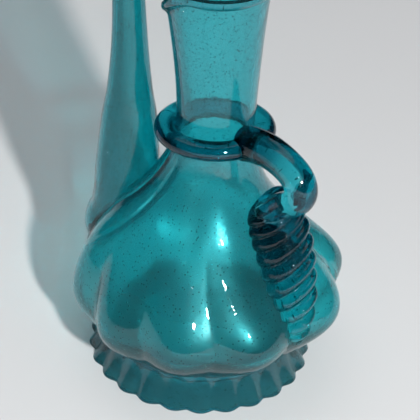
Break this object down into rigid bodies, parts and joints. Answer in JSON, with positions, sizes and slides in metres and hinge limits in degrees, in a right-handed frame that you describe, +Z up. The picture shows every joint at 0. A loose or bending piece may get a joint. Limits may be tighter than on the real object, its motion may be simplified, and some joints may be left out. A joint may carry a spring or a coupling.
{
  "type": "glass ewer",
  "caption": "Teal blown glass ewer with a lobed body, ringed neck, tall slender spout, looped handle with a crimped tail and scalloped foot, for holding and pouring liquid.",
  "frame": {"origin": "middle of the underside of the whole ewer's box, on the table plane", "axes": "+Z up along the neck; +X towards the handle, the spout being nearly on the other side; +Y to the left of someone who faces along +X"},
  "size_m": [0.1106, 0.1104, 0.1906],
  "materials": {
    "body_glass": "clear teal glass with seed bubbles, glossy",
    "spout_glass": "clear teal glass, glossy",
    "ring_glass": "thick deep teal glass, glossy",
    "handle_glass": "thick deep teal glass, glossy",
    "foot_glass": "clear teal glass, glossy"
  },
  "bodies": {
    "root": {"body": "body_glass", "spout": "spout_glass", "neck_ring": "ring_glass", "handle": "handle_glass", "foot": "foot_glass"}
  },
  "joints": []
}
